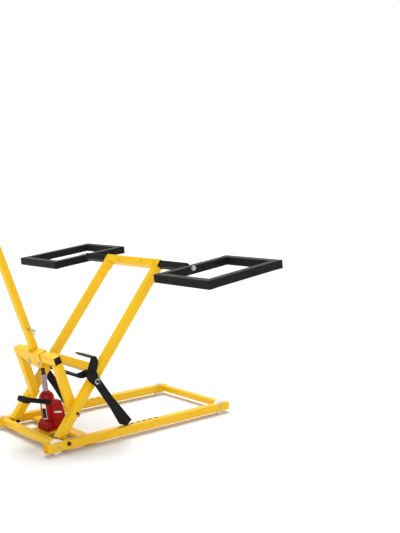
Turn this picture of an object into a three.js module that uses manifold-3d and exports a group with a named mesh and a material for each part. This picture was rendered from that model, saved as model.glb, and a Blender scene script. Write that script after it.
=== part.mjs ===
// Lawn mower lift: a base frame on four rollers, a hinged lifting frame raised by a bottle jack, two safety
// legs with their release hook, and two wheel trays on sliding tubes. Millimetres, Z up, X from the jack end
// to the tray end, Y from the near rail to the far rail. The pose is the raised one.
import * as THREE from "three";
import { mergeVertices } from "three/addons/utils/BufferGeometryUtils.js";
import Module from "manifold-3d";

const wasm = await Module();
wasm.setup();

// Driving sizes
const RAIL_LENGTH = 1046;
const FRAME_WIDTH = 532;
const TUBE = 38;
const WALL = 2.5;
const CROSS = 30;
const CORNER = 4;
const SEAT_GAP = 0.3;
const TURN_GAP = 0.4;
const CUT_PAST = 5;
const WELD_LAP = 0.5;
const MIDDLE = FRAME_WIDTH / 2;
const HALF = TUBE / 2;
const ROUND = 24;
const SMALL_ROUND = 12;

// Rollers and their bolts
const ROLLER_RADIUS = 32;
const ROLLER_WIDTH = 24;
const ROLLER_CHAMFER = 3;
const ROLLER_GROOVE_DEPTH = 1.5;
const ROLLER_GROOVE_HALF = 3;
const ROLLER_BOSS_GAP = 1;
const ROLLER_SLOT_LENGTH = 58;
const FRONT_AXLE_X = 50;
const REAR_AXLE_INSET = 56;
const REAR_AXLE_X = RAIL_LENGTH - REAR_AXLE_INSET;
const AXLE_RADIUS = 4;
const AXLE_HEAD_RADIUS = 7;
const AXLE_HEAD = 5;

// Rails and cross tubes
const FRONT_CROSS_X = 50;
const RAIL_HOLE_X = 83;
const RAIL_HOLE_RADIUS = 3;
const LEG_SLOTS = 6;
const LEG_SLOT_X = 412;
const LEG_SLOT_PITCH = 34;
const LEG_SLOT_LENGTH = 21;
const LEG_SLOT_SIDE = 1.8;
const MEMBER_X = 204;
const MEMBER_WIDTH = 56;
const MEMBER_HEIGHT = 16;

// Lifting frame
const LIFT_X = 100.9;
const LIFT_Z = 26.1;
const ARM_TILT = 52.4;
const ARM_OFFSET = 9;
const ARM_Y = 52.5;
const ARM_END_RADIUS = 19;
const PIVOT_RADIUS = 5;
const PIVOT_HEAD_RADIUS = 9;
const PIVOT_HEAD = 6;
const PIVOT_SHOULDER_RADIUS = 9;
const TOP_TUBE_ALONG = 912;
const MID_TUBE_ALONG = 341;
const STOP_ALONG = 130;
const STOP_SIZE = 16;
const STOP_HEIGHT = 12;
const GUSSET = 34;
const GUSSET_THICK = 4;

// Tower, handle and ram bracket
const TOWER_X = 109;
const TOWER_Z = 367;
const TOWER_TILT = 19;
const POST_END_OFFSET = -6;
const SADDLE_NEAR_Y = MIDDLE - 58;
const SADDLE_FAR_Y = MIDDLE + 122;
const SADDLE_THICK = 4;
const SADDLE_DROP = 38;
const SADDLE_BOLT_Y = [MIDDLE - 38, MIDDLE + 45];
const SADDLE_BOLT_DROP = 27.5;
const SADDLE_APRON = [[0, 23.3], [0, -38], [42, -48], [100, -45], [169, -20], [180, -16], [180, 23.3]];
const SADDLE_BOLT_RADIUS = 5;
const SADDLE_NUT_RADIUS = 9;
const SADDLE_NUT = 7;
const HANDLE_X = 114;
const HANDLE_Z = 385;
const HANDLE_Y = MIDDLE + 32;
const HANDLE_TILT = 20.5;
const HANDLE_SIZE = 32;
const HANDLE_LENGTH = 760;
const HANDLE_LIFT = 8.7;
const SPIGOT_CLEARANCE = 0.5;
const SPIGOT_LENGTH = 130;
const PLUG_LENGTH = 22;
const PLUG_CROWN = 5;
const HITCH_HEIGHT = 105;
const HITCH_RADIUS = 5;
const HITCH_OUT = 60;
const HITCH_HEAD_RADIUS = 8;
const HITCH_HEAD = 6;
const CLIP_RING_RADIUS = 8.5;
const CLIP_WIRE_RADIUS = 1.6;
const CLIP_TAIL = 16;
const CHEEK_GAP_HALF = 20;
const CHEEK_THICK = 6;
const PAD_THICK = 9;
const PAD_HALF = 23;
const PAD_REST_GAP = 1;
const CHEEK_OUTLINE = [[4, 0], [18.7, 0], [18.7, -20], [32, -26], [32, -44], [24, -64], [4, -64]];

// Wheel trays and their tubes
const TRAY_TUBE = 32;
const TRAY_TUBE_OUT = 139;
const TRAY_TUBE_IN = 205;
const TRAY_TILT = 8;
const TRAY_FRONT = 198;
const TRAY_REAR = 245;
const TRAY_WIDTH = 352;
const TRAY_DROP = 9;
const TRAY_HOLE_RADIUS = 4;
const TRAY_HOLE_ALONG = [-90, 60, 150];
const TRAY_HOLE_ACROSS = [90, 262];
const TRAY_PIN_RADIUS = 6;
const TRAY_PIN_HEAD_RADIUS = 12;
const TRAY_PIN_HEAD = 7;
const TRAY_PLUG = 30;
const LOCK_Y = [88, FRAME_WIDTH - 165];
const LOCK_HOLE_Y = [190, FRAME_WIDTH - 62];
const LOCK_RADIUS = 4;
const LOCK_HEAD_RADIUS = 7;
const LOCK_HEAD = 6;

// Safety legs and release hook
const LEG_ALONG = 289.2;
const LEG_OFFSET = 15;
const LEG_TILT = -54.6;
const LEG_Y = 24;
const LEG_THICK = 8;
const LEG_BOLT_RADIUS = 6;
const LEG_WASHER_RADIUS = 13;
const LEG_WASHER = 2;
const LEG_HEAD_RADIUS = 8;
const LEG_HEAD = 7;
const LEG_SHOULDER_RADIUS = 11;
const LEG_OUTLINE = [
  [-73, -13], [-59, -29], [-20, -21], [0, -19], [120, -19], [150, -20], [247.7, -26.9],
  [273.5, -7.2], [279.3, 0.9], [277.2, 31.9], [150, 22], [120, 19], [0, 19], [-40, 9.7],
];
const HOOK_THICK = 6;
const HOOK_SIDE_GAP = 0.8;
const HOOK_OUTLINE = [
  [262, 245], [280, 250], [287, 264], [286, 285], [277, 303], [284, 328], [287, 343], [284, 356], [277, 371],
  [251, 371], [243, 346], [233, 319], [218, 319], [196, 313], [178, 309.5], [169, 302], [170, 295], [188, 286.5],
  [204, 283.5], [225, 286], [240, 262],
];
const LINK_OUTLINE = [[262, 245], [280, 250], [287, 264], [280, 283], [196, 309], [178, 301], [178, 289], [240, 262]];
const JAW_X = 251;
const JAW_WIDTH = 26;
const JAW_TOP = 371;
const JAW_END = 190;
const JAW_TAPER = 40;
const JAW_TIP_SHARE = 0.3;
const LINK_X = 180;
const LINK_WIDTH = 20;
const LINK_Z = 290;
const LINK_HEIGHT = 10;

// Jack
const JACK_X = 170.4;
const JACK_Z = 21.8;
const JACK_TILT = 7;
const SEAT_THICK = 5;
const SEAT_FRONT = -83;
const SEAT_HALF = 63;
const HINGE_ALONG = 45.9;
const HINGE_UP = -0.4;
const HINGE_PIN_RADIUS = 4;
const HINGE_BARREL_RADIUS = 7;
const HINGE_BARREL_HALF = 50;
const LUG_THICK = 8;
const LUG_RADIUS = 9;
const LUG_GAP = 1.5;
const BASE_FRONT = -40;
const BASE_REAR = 37;
const BASE_HALF = 42.5;
const BASE_SLAB = 9;
const BASE_HEIGHT = 44;
const BASE_TOP_SHARE = 0.76;
const BORE_FLOOR = 16;
const TANK_RADIUS = 33;
const TANK_TOP = 132;
const CAP_RADIUS = 34.5;
const CAP_TOP = 176;
const CAP_SHARES = [[1, 0], [1, 0.3], [0.96, 0.52], [0.84, 0.72], [0.66, 0.86], [0.5, 0.94], [0.46, 1]];
const RAM_RADIUS = 13;
const RAM_BOTTOM = 112;
const RAM_TOP = 256.4;
const SCREW_RADIUS = 8.5;
const SCREW_BOTTOM = 190;
const SADDLE_RADIUS = 17;
const SADDLE_BOTTOM = 279;
const SADDLE_TOP = 289.3;
const SADDLE_DOME = 2.5;
const PUMP_FACE = 50;
const PUMP_DEEP = 8;
const PUMP_OUTLINE = [[-5, 10], [38, 10], [54, 53], [55, 62], [45, 127], [2, 143], [-5, 141]];
const LEVER_SIZE = 20;
const LEVER_WALL = 2;
const LEVER_ALONG = -20;
const LEVER_UP = 139;
const LEVER_SIDE = 50;
const LEVER_TAIL = 5;
const LEVER_REACH = 139;
const LEVER_TILT = 22.3;
const LEVER_PIN_RADIUS = 4;
const EAR_THICK = 4.5;
const EAR_HALF = 10;
const FOOT_PAD_WIDE = 64;
const FOOT_PAD_TALL = 24;
const FOOT_PAD_DEEP = 30;
const SLEEVE_WALL = 2.4;
const VALVE_ALONG = -24;
const VALVE_UP = 14;
const VALVE_RADIUS = 4;
const VALVE_DEPTH = 12;
const VALVE_KNOB_RADIUS = 7;
const VALVE_KNOB = 9;

const WELD_TOLERANCE = 1e-3;
const radians = THREE.MathUtils.degToRad;

// One closed solid from a three.js geometry, and back
function solid(geometry) {
  const plain = geometry.index ? geometry.toNonIndexed() : geometry.clone();
  plain.deleteAttribute("normal");
  plain.deleteAttribute("uv");
  const merged = mergeVertices(plain, WELD_TOLERANCE);
  const corners = merged.index.array;
  const kept = [];
  for (let i = 0; i < corners.length; i += 3) {
    const [a, b, c] = [corners[i], corners[i + 1], corners[i + 2]];
    if (a !== b && b !== c && c !== a) kept.push(a, b, c);
  }
  const mesh = { numProp: 3, vertProperties: merged.attributes.position.array, triVerts: new Uint32Array(kept) };
  const made = new wasm.Manifold(new wasm.Mesh(mesh));
  if (made.volume() >= 0) return made;
  for (let i = 0; i < kept.length; i += 3) [kept[i], kept[i + 1]] = [kept[i + 1], kept[i]];
  return new wasm.Manifold(new wasm.Mesh({ ...mesh, triVerts: new Uint32Array(kept) }));
}

function surface(made) {
  const mesh = made.getMesh();
  return new THREE.BufferGeometry()
    .setAttribute("position", new THREE.BufferAttribute(new Float32Array(mesh.vertProperties), 3))
    .setIndex(new THREE.BufferAttribute(new Uint32Array(mesh.triVerts), 1));
}

const join = (...pieces) => surface(pieces.map(solid).reduce((a, b) => a.add(b)));
const cut = (body, ...tools) => surface(tools.map(solid).reduce((a, b) => a.subtract(b), solid(body)));
const keep = (body, region) => surface(solid(body).intersect(solid(region)));

// Plain shapes
function block(x0, x1, y0, y1, z0, z1) {
  const box = new THREE.BoxGeometry(x1 - x0, y1 - y0, z1 - z0);
  return box.translate((x0 + x1) / 2, (y0 + y1) / 2, (z0 + z1) / 2);
}

function roundedRectangle(width, height, corner) {
  const [w, h] = [width / 2, height / 2];
  const shape = new THREE.Shape();
  shape.moveTo(-w + corner, -h);
  shape.lineTo(w - corner, -h);
  shape.absarc(w - corner, -h + corner, corner, -Math.PI / 2, 0);
  shape.lineTo(w, h - corner);
  shape.absarc(w - corner, h - corner, corner, 0, Math.PI / 2);
  shape.lineTo(-w + corner, h);
  shape.absarc(-w + corner, h - corner, corner, Math.PI / 2, Math.PI);
  shape.lineTo(-w, -h + corner);
  shape.absarc(-w + corner, -h + corner, corner, Math.PI, Math.PI * 1.5);
  return shape;
}

function tubeZ(z0, z1, x, y, width, height = width, wall = WALL) {
  const outer = roundedRectangle(width, height, Math.min(CORNER, width / 5));
  const [w, h] = [width / 2 - wall, height / 2 - wall];
  outer.holes.push(new THREE.Path([[-w, -h], [-w, h], [w, h], [w, -h]].map(([a, b]) => new THREE.Vector2(a, b))));
  const tube = new THREE.ExtrudeGeometry(outer, { depth: z1 - z0, bevelEnabled: false, curveSegments: 2 });
  return tube.translate(x, y, z0);
}

function tubeX(x0, x1, y, z, width, height = width, wall = WALL) {
  return tubeZ(0, x1 - x0, 0, 0, height, width, wall).rotateY(Math.PI / 2).translate(x0, y, z);
}

function tubeY(y0, y1, x, z, width, height = width, wall = WALL) {
  return tubeZ(0, y1 - y0, 0, 0, width, height, wall).rotateX(-Math.PI / 2).translate(x, y0, z);
}

function rodZ(x, y, radius, z0, z1, sides = ROUND) {
  const rod = new THREE.CylinderGeometry(radius, radius, z1 - z0, sides);
  return rod.rotateX(Math.PI / 2).translate(x, y, (z0 + z1) / 2);
}

function rodY(x, z, radius, y0, y1, sides = ROUND) {
  return new THREE.CylinderGeometry(radius, radius, y1 - y0, sides).translate(x, (y0 + y1) / 2, z);
}

function rodX(y, z, radius, x0, x1, sides = ROUND) {
  const rod = new THREE.CylinderGeometry(radius, radius, x1 - x0, sides);
  return rod.rotateZ(Math.PI / 2).translate((x0 + x1) / 2, y, z);
}

// A flat plate with its outline in X and Z, from y0 to y1
function plate(outline, y0, y1) {
  const shape = new THREE.Shape(outline.map(([x, z]) => new THREE.Vector2(x, z)));
  const flat = new THREE.ExtrudeGeometry(shape, { depth: y1 - y0, bevelEnabled: false });
  return flat.rotateX(Math.PI / 2).translate(0, y1, 0);
}

// A turned piece about Z from a closed profile of [radius, height]
function turned(profile, sides = ROUND) {
  const points = [...profile, profile[0]].map(([r, h]) => new THREE.Vector2(r, h));
  return new THREE.LatheGeometry(points, sides).rotateX(Math.PI / 2);
}

// Finishes
const finish = (color, roughness, metalness) => new THREE.MeshStandardMaterial({ color, roughness, metalness });
const YELLOW = () => finish("#f0be24", 0.42, 0);
const BLACK = () => finish("#232322", 0.5, 0);
const RED = () => finish("#98121a", 0.32, 0);
const ZINC = () => finish("#c3c4c2", 0.35, 1);
const DARK_STEEL = () => finish("#3a3532", 0.5, 1);
const RAM_STEEL = () => finish("#a79fa3", 0.22, 1);
const NYLON = () => finish("#efe8d3", 0.5, 0);
const RUBBER = () => finish("#1b1b1b", 0.85, 0);

// Frames of reference: each has a near one, and its mirror image for the far side
const lift = new THREE.Group();
const nearSide = new THREE.Group();
const farSide = new THREE.Group();
farSide.scale.y = -1;
farSide.position.y = FRAME_WIDTH;
lift.add(nearSide, farSide);

function frameAt(x, z, tilt) {
  return [nearSide, farSide].map((side) => {
    const group = new THREE.Group();
    group.position.set(x, 0, z);
    group.rotation.y = -radians(tilt);
    side.add(group);
    return group;
  });
}

function matrixAt(x, z, tilt) {
  return new THREE.Matrix4().makeRotationY(-radians(tilt)).setPosition(x, 0, z);
}

function piece(frame, name, geometry, material) {
  const closed = surface(solid(geometry));
  closed.computeVertexNormals();
  const mesh = new THREE.Mesh(closed, material);
  mesh.name = name;
  frame.add(mesh);
}

function pair(frames, stem, geometry, material) {
  piece(frames[0], "near_" + stem, geometry, material());
  piece(frames[1], "far_" + stem, geometry, material());
}

const ground = frameAt(0, 0, 0);
const arm = frameAt(LIFT_X, LIFT_Z, ARM_TILT);
const tower = frameAt(TOWER_X, TOWER_Z, TOWER_TILT);
const handle = frameAt(HANDLE_X, HANDLE_Z, HANDLE_TILT);
const jack = frameAt(JACK_X, JACK_Z, JACK_TILT);
const armMatrix = matrixAt(LIFT_X, LIFT_Z, ARM_TILT);
const towerMatrix = matrixAt(TOWER_X, TOWER_Z, TOWER_TILT);
const jackMatrix = matrixAt(JACK_X, JACK_Z, JACK_TILT);
const topAxis = new THREE.Vector3(TOP_TUBE_ALONG, 0, ARM_OFFSET).applyMatrix4(armMatrix);
const legAxis = new THREE.Vector3(LEG_ALONG, 0, LEG_OFFSET).applyMatrix4(armMatrix);
const tray = frameAt(topAxis.x, topAxis.z, TRAY_TILT);
const leg = frameAt(legAxis.x, legAxis.z, LEG_TILT);
const inTower = (geometry, matrix) => geometry.applyMatrix4(matrix).applyMatrix4(towerMatrix.clone().invert());

// Base frame
function makeRail() {
  const tools = [
    rodY(LIFT_X, LIFT_Z, PIVOT_RADIUS + TURN_GAP, -CUT_PAST, TUBE + CUT_PAST),
    rodZ(RAIL_HOLE_X + RAIL_HOLE_RADIUS, HALF, RAIL_HOLE_RADIUS, HALF, TUBE + CUT_PAST, SMALL_ROUND),
  ];
  const slotSide = (TUBE - ROLLER_WIDTH) / 2 - 1;
  for (const x of [FRONT_AXLE_X, REAR_AXLE_X]) {
    const reach = ROLLER_SLOT_LENGTH / 2;
    tools.push(block(x - reach, x + reach, slotSide, TUBE - slotSide, -CUT_PAST, TUBE + CUT_PAST));
    tools.push(rodY(x, HALF, AXLE_RADIUS + SEAT_GAP, -CUT_PAST, TUBE + CUT_PAST));
  }
  for (let i = 0; i < LEG_SLOTS; i++) {
    const x = LEG_SLOT_X + i * LEG_SLOT_PITCH;
    const [y0, y1] = [LEG_Y - LEG_SLOT_SIDE, LEG_Y + LEG_THICK + LEG_SLOT_SIDE];
    tools.push(block(x, x + LEG_SLOT_LENGTH, y0, y1, HALF, TUBE + CUT_PAST));
  }
  return cut(tubeX(0, RAIL_LENGTH, HALF, HALF, TUBE), ...tools);
}

function makeRoller() {
  const [r, h, c] = [ROLLER_RADIUS, ROLLER_WIDTH / 2, ROLLER_CHAMFER];
  const bore = AXLE_RADIUS + TURN_GAP;
  const hub = r * 0.4;
  const profile = [
    [bore, -h], [hub, -h], [hub + c, -h + ROLLER_BOSS_GAP], [r - c * 2, -h + ROLLER_BOSS_GAP], [r - c, -h], [r, -h + c],
    [r, -ROLLER_GROOVE_HALF], [r - ROLLER_GROOVE_DEPTH, 0], [r, ROLLER_GROOVE_HALF],
    [r, h - c], [r - c, h], [r - c * 2, h - ROLLER_BOSS_GAP], [hub + c, h - ROLLER_BOSS_GAP], [hub, h], [bore, h],
  ];
  return turned(profile).rotateX(Math.PI / 2);
}

const axleBolt = join(
  rodY(0, 0, AXLE_RADIUS, -SEAT_GAP - WELD_LAP, TUBE - SEAT_GAP, ROUND),
  rodY(0, 0, AXLE_HEAD_RADIUS, -SEAT_GAP - AXLE_HEAD, -SEAT_GAP, 6),
);
const pivotBolt = join(
  rodY(0, 0, PIVOT_RADIUS, -SEAT_GAP - WELD_LAP, ARM_Y + TUBE + SEAT_GAP + WELD_LAP),
  rodY(0, 0, PIVOT_HEAD_RADIUS, -SEAT_GAP - PIVOT_HEAD, -SEAT_GAP, 6),
  rodY(0, 0, PIVOT_SHOULDER_RADIUS, TUBE + SEAT_GAP, ARM_Y - SEAT_GAP),
  rodY(0, 0, PIVOT_HEAD_RADIUS, ARM_Y + TUBE + SEAT_GAP, ARM_Y + TUBE + SEAT_GAP + PIVOT_HEAD, 6),
);

pair(ground, "rail", makeRail(), YELLOW);
for (const [end, x] of [["front", FRONT_AXLE_X], ["rear", REAR_AXLE_X]]) {
  pair(ground, end + "_roller", makeRoller().translate(x, HALF, HALF), NYLON);
  pair(ground, end + "_axle_bolt", axleBolt.clone().translate(x, 0, HALF), ZINC);
}
pair(ground, "arm_pivot_bolt", pivotBolt.clone().translate(LIFT_X, 0, LIFT_Z), DARK_STEEL);

const [innerNear, innerFar] = [TUBE, FRAME_WIDTH - TUBE];
const frontX = FRONT_CROSS_X + CROSS / 2;
piece(ground[0], "front_cross_tube", tubeY(innerNear, innerFar, frontX, HALF, CROSS), YELLOW());
piece(ground[0], "rear_cross_tube", tubeY(innerNear, innerFar, RAIL_LENGTH - CROSS / 2, HALF, CROSS), YELLOW());

// The cross member carries the two lugs of the jack's hinge pin
const hinge = new THREE.Vector3(HINGE_ALONG, 0, HINGE_UP).applyMatrix4(jackMatrix);
const lugStart = HINGE_BARREL_HALF + LUG_GAP;

function makeMember() {
  const across = MEMBER_X + MEMBER_WIDTH / 2;
  const beam = tubeY(innerNear, innerFar, across, MEMBER_HEIGHT / 2, MEMBER_WIDTH, MEMBER_HEIGHT);
  const lugs = [-1, 1].map((side) => {
    const [y0, y1] = [MIDDLE + side * lugStart, MIDDLE + side * (lugStart + LUG_THICK)].sort((a, b) => a - b);
    const foot = block(hinge.x - LUG_RADIUS, hinge.x + LUG_RADIUS, y0, y1, MEMBER_HEIGHT - WELD_LAP, hinge.z);
    return join(foot, rodY(hinge.x, hinge.z, LUG_RADIUS, y0, y1));
  });
  const whole = join(beam, ...lugs);
  return cut(whole, rodY(hinge.x, hinge.z, HINGE_PIN_RADIUS + SEAT_GAP, MIDDLE - MIDDLE / 2, MIDDLE + MIDDLE / 2));
}

const pinHalf = lugStart + LUG_THICK + 2;
piece(ground[0], "jack_cross_member", makeMember(), YELLOW());
const hingePin = rodY(hinge.x, hinge.z, HINGE_PIN_RADIUS, MIDDLE - pinHalf, MIDDLE + pinHalf);
piece(ground[0], "jack_hinge_pin", hingePin, ZINC());

// Lifting frame: arms, cross tubes and stop pads
const armMiddle = ARM_Y + HALF;
const armInner = ARM_Y + TUBE + SEAT_GAP;

function makeArm() {
  const top = TOP_TUBE_ALONG - HALF - SEAT_GAP;
  const whole = tubeX(-ARM_END_RADIUS, top, armMiddle, ARM_OFFSET, TUBE);
  const [y0, y1] = [ARM_Y - CUT_PAST, ARM_Y + TUBE + CUT_PAST];
  const region = join(
    block(0, top + CUT_PAST, y0, y1, ARM_OFFSET - TUBE, ARM_OFFSET + TUBE),
    rodY(0, 0, ARM_END_RADIUS, y0, y1, 32),
  );
  return cut(
    join(keep(whole, region), makeGusset()),
    rodY(0, 0, PIVOT_RADIUS + TURN_GAP, y0, y1),
    rodY(LEG_ALONG, LEG_OFFSET, LEG_BOLT_RADIUS + SEAT_GAP, y0, y1),
  );
}

function makeTopTube() {
  const tube = tubeY(ARM_Y, FRAME_WIDTH - ARM_Y, TOP_TUBE_ALONG, ARM_OFFSET, TUBE);
  const holes = [...LOCK_Y, ...LOCK_HOLE_Y].map((y) =>
    rodZ(TOP_TUBE_ALONG, y, LOCK_RADIUS + SEAT_GAP, ARM_OFFSET, ARM_OFFSET + TUBE, SMALL_ROUND),
  );
  return cut(tube, ...holes);
}

function makeGusset() {
  const corner = [TOP_TUBE_ALONG - HALF - SEAT_GAP, ARM_OFFSET - HALF + WALL];
  const outline = [corner, [corner[0] - GUSSET, corner[1]], [corner[0], corner[1] + GUSSET]];
  return plate(outline, ARM_Y + TUBE - WELD_LAP, ARM_Y + TUBE + GUSSET_THICK);
}

pair(arm, "arm", makeArm(), YELLOW);
piece(arm[0], "top_cross_tube", makeTopTube(), YELLOW());
const midTube = tubeY(armInner, FRAME_WIDTH - armInner, MID_TUBE_ALONG, ARM_OFFSET, TUBE);
piece(arm[0], "mid_cross_tube", midTube, YELLOW());

const padTop = ARM_OFFSET - HALF - SEAT_GAP;
const padHalf = STOP_SIZE / 2;
const stopPad = block(
  STOP_ALONG - padHalf, STOP_ALONG + padHalf, armMiddle - padHalf, armMiddle + padHalf, padTop - STOP_HEIGHT, padTop,
);
pair(arm, "stop_pad", stopPad, RUBBER);

LOCK_Y.forEach((y, i) => {
  const tip = ARM_OFFSET + TRAY_TUBE / 2 + SEAT_GAP;
  const under = ARM_OFFSET + HALF + SEAT_GAP;
  const screw = join(
    rodZ(TOP_TUBE_ALONG, y, LOCK_RADIUS, tip, under + WELD_LAP, SMALL_ROUND),
    rodZ(TOP_TUBE_ALONG, y, LOCK_HEAD_RADIUS, under, under + LOCK_HEAD, 6),
  );
  piece(arm[0], ["near", "far"][i] + "_lock_screw", screw, ZINC());
});

// Tower: posts on the arms' inner faces, and the cross tube over them
function makePost() {
  const length = TUBE * 8;
  const post = tubeZ(-length, -HALF - SEAT_GAP, 0, armInner + HALF, TUBE);
  const reach = TUBE * 12;
  const below = block(-reach, reach, 0, MIDDLE, -reach, ARM_OFFSET + POST_END_OFFSET);
  return cut(post, inTower(below, armMatrix));
}

pair(tower, "tower_post", makePost(), YELLOW);

piece(tower[0], "tower_cross_tube", tubeY(armInner, FRAME_WIDTH - armInner, 0, 0, TUBE), YELLOW());

// The handle's saddle is bent over the cross tube, and its bolts pass under the tube
function makeSaddle() {
  const inner = HALF + SEAT_GAP;
  const outer = inner + SADDLE_THICK;
  const topPlate = block(-outer, outer, SADDLE_NEAR_Y, SADDLE_FAR_Y, inner, outer);
  const apron = plate(SADDLE_APRON, inner, outer).rotateZ(Math.PI / 2).translate(0, SADDLE_NEAR_Y, 0);
  const backPlate = block(inner, outer, SADDLE_NEAR_Y, SADDLE_FAR_Y, -SADDLE_DROP, outer);
  const holes = SADDLE_BOLT_Y.map((y) =>
    rodX(y, -SADDLE_BOLT_DROP, SADDLE_BOLT_RADIUS + SEAT_GAP, -TUBE, TUBE, SMALL_ROUND),
  );
  return cut(join(topPlate, apron, backPlate), ...holes);
}

piece(tower[0], "handle_saddle", makeSaddle(), YELLOW());
SADDLE_BOLT_Y.forEach((y, i) => {
  const face = HALF + SADDLE_THICK + SEAT_GAP * 2;
  const bolt = join(
    rodX(y, -SADDLE_BOLT_DROP, SADDLE_BOLT_RADIUS, -face - WELD_LAP, face + WELD_LAP, SMALL_ROUND),
    rodX(y, -SADDLE_BOLT_DROP, SADDLE_NUT_RADIUS, -face - SADDLE_NUT, -face, 6),
    rodX(y, -SADDLE_BOLT_DROP, SADDLE_NUT_RADIUS, face, face + SADDLE_NUT, 6),
  );
  piece(tower[0], ["near", "far"][i] + "_saddle_bolt", bolt, ZINC());
});

// Ram bracket: two cheeks under the cross tube and the pad that the ram's saddle pushes on
function makeRamBracket() {
  const top = -HALF - SEAT_GAP;
  const outline = CHEEK_OUTLINE.map(([w, t]) => [w, t + top]);
  const outer = CHEEK_GAP_HALF + CHEEK_THICK;
  const cheeks = [
    plate(outline, MIDDLE - outer, MIDDLE - CHEEK_GAP_HALF), plate(outline, MIDDLE + CHEEK_GAP_HALF, MIDDLE + outer),
  ];
  const padFloor = SADDLE_TOP + PAD_REST_GAP;
  const lap = CHEEK_GAP_HALF + WELD_LAP;
  const pad = block(-PAD_HALF, PAD_HALF, MIDDLE - lap, MIDDLE + lap, padFloor, padFloor + PAD_THICK);
  const head = block(CHEEK_OUTLINE[0][0], CHEEK_OUTLINE[1][0], MIDDLE - lap, MIDDLE + lap, top - CHEEK_THICK, top);
  return join(...cheeks, head, inTower(pad, jackMatrix));
}

piece(tower[0], "ram_bracket", makeRamBracket(), YELLOW());

// Handle on its spigot, held by a hitch pin with a ring clip
const spigotSize = HANDLE_SIZE - 2 * WALL - 2 * SPIGOT_CLEARANCE;
const handleTop = HANDLE_LIFT + HANDLE_LENGTH;
const hitchHole = () =>
  rodY(0, HITCH_HEIGHT, HITCH_RADIUS + SEAT_GAP, HANDLE_Y - HANDLE_SIZE, HANDLE_Y + HANDLE_SIZE, SMALL_ROUND);
const spigot = tubeZ(HANDLE_LIFT, SPIGOT_LENGTH, 0, HANDLE_Y, spigotSize);
piece(handle[0], "handle_spigot", cut(spigot, hitchHole()), YELLOW());
const handleTube = tubeZ(HANDLE_LIFT, handleTop, 0, HANDLE_Y, HANDLE_SIZE);
piece(handle[0], "handle_tube", cut(handleTube, hitchHole()), YELLOW());

function makePlug() {
  const [h, s] = [HANDLE_SIZE / 2, spigotSize / 2];
  const stem = block(-s, s, HANDLE_Y - s, HANDLE_Y + s, handleTop - PLUG_LENGTH, handleTop + SEAT_GAP + WELD_LAP);
  const bevel = { depth: PLUG_CROWN / 2, bevelThickness: PLUG_CROWN / 2, bevelSize: 2, bevelSegments: 1, curveSegments: 3 };
  const crown = new THREE.ExtrudeGeometry(roundedRectangle(2 * h - 4, 2 * h - 4, CORNER), bevel);
  crown.translate(0, HANDLE_Y, handleTop + SEAT_GAP + PLUG_CROWN / 2);
  return join(stem, crown);
}

piece(handle[0], "handle_plug", makePlug(), BLACK());
const pinNear = HANDLE_Y - HANDLE_SIZE / 2 - HITCH_OUT;
const pinFar = HANDLE_Y + HANDLE_SIZE / 2 + SEAT_GAP;
const hitchPin = join(
  rodY(0, HITCH_HEIGHT, HITCH_RADIUS, pinNear, pinFar + WELD_LAP, SMALL_ROUND),
  rodY(0, HITCH_HEIGHT, HITCH_HEAD_RADIUS, pinFar, pinFar + HITCH_HEAD, SMALL_ROUND),
);
const clipY = pinNear + HITCH_OUT / 3;
const ring = new THREE.TorusGeometry(CLIP_RING_RADIUS, CLIP_WIRE_RADIUS, 8, 20).rotateX(Math.PI / 2);
const clip = join(
  ring.translate(0, clipY, HITCH_HEIGHT - CLIP_WIRE_RADIUS),
  rodZ(0, clipY, CLIP_WIRE_RADIUS, HITCH_HEIGHT - CLIP_RING_RADIUS - CLIP_TAIL, HITCH_HEIGHT - CLIP_RING_RADIUS - 1, 8),
);
piece(handle[0], "hitch_pin", hitchPin, ZINC());
piece(handle[0], "pin_clip", clip, ZINC());

// Tray tubes slide in the top cross tube, and each tray turns on the plugged pin in its tube's end
const trayTube = tubeY(-TRAY_TUBE_OUT, TRAY_TUBE_IN, TOP_TUBE_ALONG, ARM_OFFSET, TRAY_TUBE);
pair(arm, "tray_tube", trayTube, BLACK);

function makeTrayPin() {
  const half = TRAY_TUBE / 2 - WALL - SEAT_GAP;
  const [s, n] = [TOP_TUBE_ALONG, ARM_OFFSET];
  const plug = block(s - half, s + half, -TRAY_TUBE_OUT, -TRAY_TUBE_OUT + TRAY_PLUG, n - half, n + half);
  const outer = -TRAY_TUBE_OUT - TUBE - 2 * SEAT_GAP;
  return join(
    plug,
    rodY(s, n, TRAY_PIN_RADIUS, outer - WELD_LAP, -TRAY_TUBE_OUT + WELD_LAP),
    rodY(s, n, TRAY_PIN_HEAD_RADIUS, outer - TRAY_PIN_HEAD, outer, 6),
  );
}

pair(arm, "tray_pin", makeTrayPin(), ZINC);

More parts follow.
